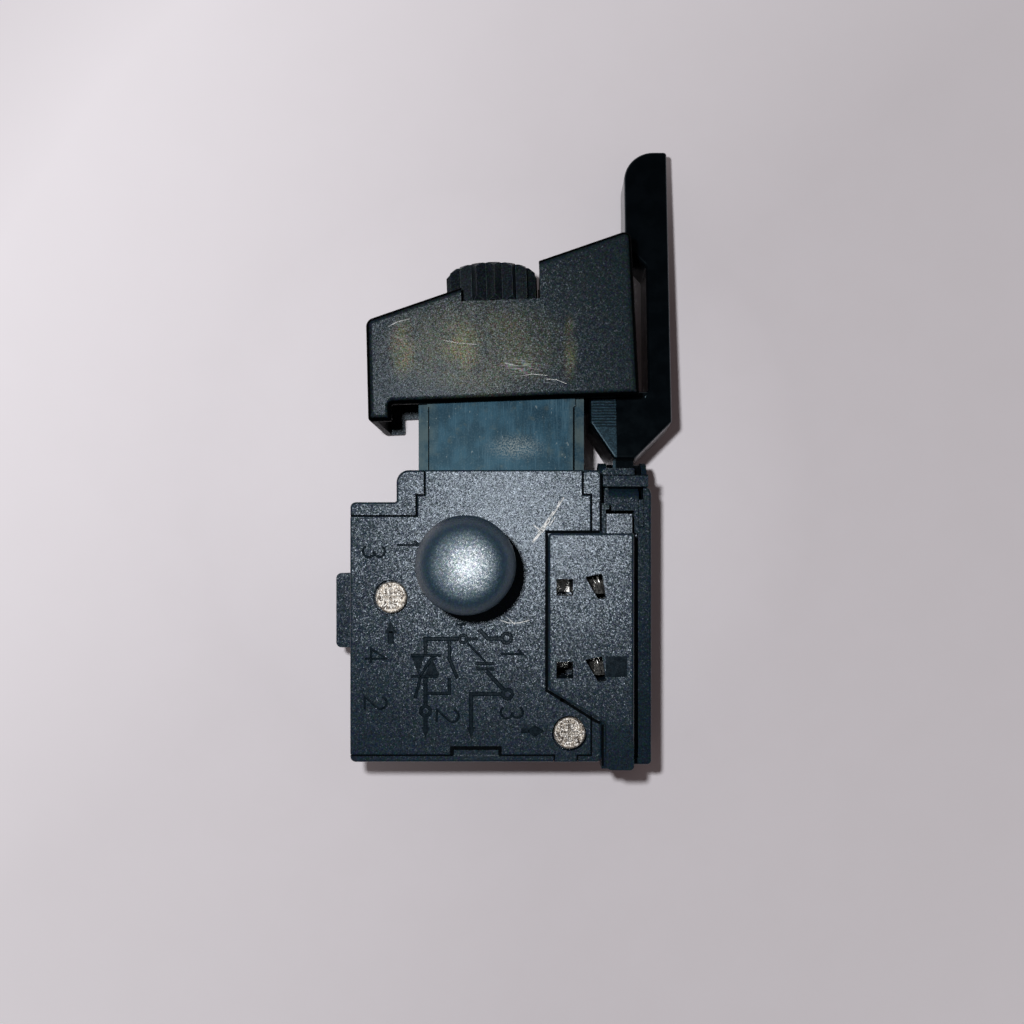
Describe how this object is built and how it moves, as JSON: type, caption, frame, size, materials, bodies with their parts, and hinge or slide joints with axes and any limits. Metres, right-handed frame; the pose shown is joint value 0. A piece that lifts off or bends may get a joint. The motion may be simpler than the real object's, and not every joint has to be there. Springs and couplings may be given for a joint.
{
  "type": "power tool trigger switch",
  "caption": "Variable-speed trigger switch for a corded power tool, with speed dial, lock button and reversing lever.",
  "frame": {"origin": "middle of the switch's bounding box at the plane that its back face lies on", "axes": "+Y from the body towards the lever's tip, +X towards the reversing unit, +Z out of the front cover, along the lock button"},
  "size_m": [0.0508, 0.094, 0.03],
  "materials": {
    "housing_plastic": "grained, worn",
    "trigger_plastic": "grained, polished by fingers",
    "plunger_plastic": "smooth with rubbed lines",
    "dial_plastic": "moulded teeth",
    "button_plastic": "fine grained",
    "lever_plastic": "glossy",
    "slide_plastic": "natural",
    "plated_steel": "nickel plated, worn cross recess",
    "spring_steel": "drawn",
    "brass": "turned",
    "copper": "stamped",
    "board": "phenolic laminate",
    "component_plastic": "moulded",
    "sink_metal": "extruded",
    "capacitor_case": "glossy",
    "resistor_body": "lacquered"
  },
  "bodies": {
    "housing": {"base_housing": "housing_plastic", "front_cover": "housing_plastic", "housing_screws": "plated_steel", "reversing_housing": "housing_plastic", "reversing_cover": "housing_plastic", "push_in_terminals": "spring_steel", "motor_contacts": "copper", "detent_spring": "spring_steel", "circuit_board": "board", "triac": "component_plastic", "heat_sink": "sink_metal", "capacitor": "capacitor_case", "resistors": "resistor_body", "fixed_contacts": "copper", "line_terminals": "spring_steel", "trigger_spring": "spring_steel", "lock_spring": "spring_steel"},
    "trigger": {"trigger": "trigger_plastic", "plunger": "plunger_plastic", "wiper": "copper", "contact_slider": "copper"},
    "dial": {"speed_dial": "dial_plastic", "dial_screw": "brass"},
    "stop_nut": {"stop_nut": "brass"},
    "lock_button": {"lock_button": "button_plastic"},
    "lever": {"reversing_lever": "lever_plastic"},
    "contact_slide": {"reversing_slide": "slide_plastic", "reversing_bridges": "copper"}
  },
  "joints": [
    {"name": "trigger_pull", "type": "slide", "parent": "housing", "child": "trigger", "axis": [0, -1, 0], "range_m": [0, 0.007], "stiffness_N_per_m": 500, "springref_m": -0.006, "deforming": ["trigger_spring"]},
    {"name": "lock_press", "type": "slide", "parent": "housing", "child": "lock_button", "axis": [0, 0, -1], "range_m": [0, 0.0035], "stiffness_N_per_m": 350, "springref_m": -0.004, "deforming": ["lock_spring"]},
    {"name": "lever_swing", "type": "hinge", "parent": "housing", "child": "lever", "pos_m": [0.01825, -0.005, 0.0085], "axis": [1, 0, 0], "range_deg": [0, 11]},
    {"name": "contact_shift", "type": "slide", "parent": "housing", "child": "contact_slide", "axis": [0, 0, 1], "range_m": [-0.00195, 0]},
    {"name": "dial_turn", "type": "hinge", "parent": "trigger", "child": "dial", "pos_m": [-0.00166, 0.02181, 0.0085], "axis": [-0.0366, 0.9993, 0], "range_deg": [-360, 360]},
    {"name": "stop_travel", "type": "slide", "parent": "trigger", "child": "stop_nut", "axis": [-0.0366, 0.9993, 0], "range_m": [-0.00071, 0.00071]}
  ],
  "couplings": [
    {"joint": "contact_shift", "follows": "lever_swing", "m_per_rad": -0.01},
    {"joint": "stop_travel", "follows": "dial_turn", "m_per_rad": 0.00011141}
  ]
}
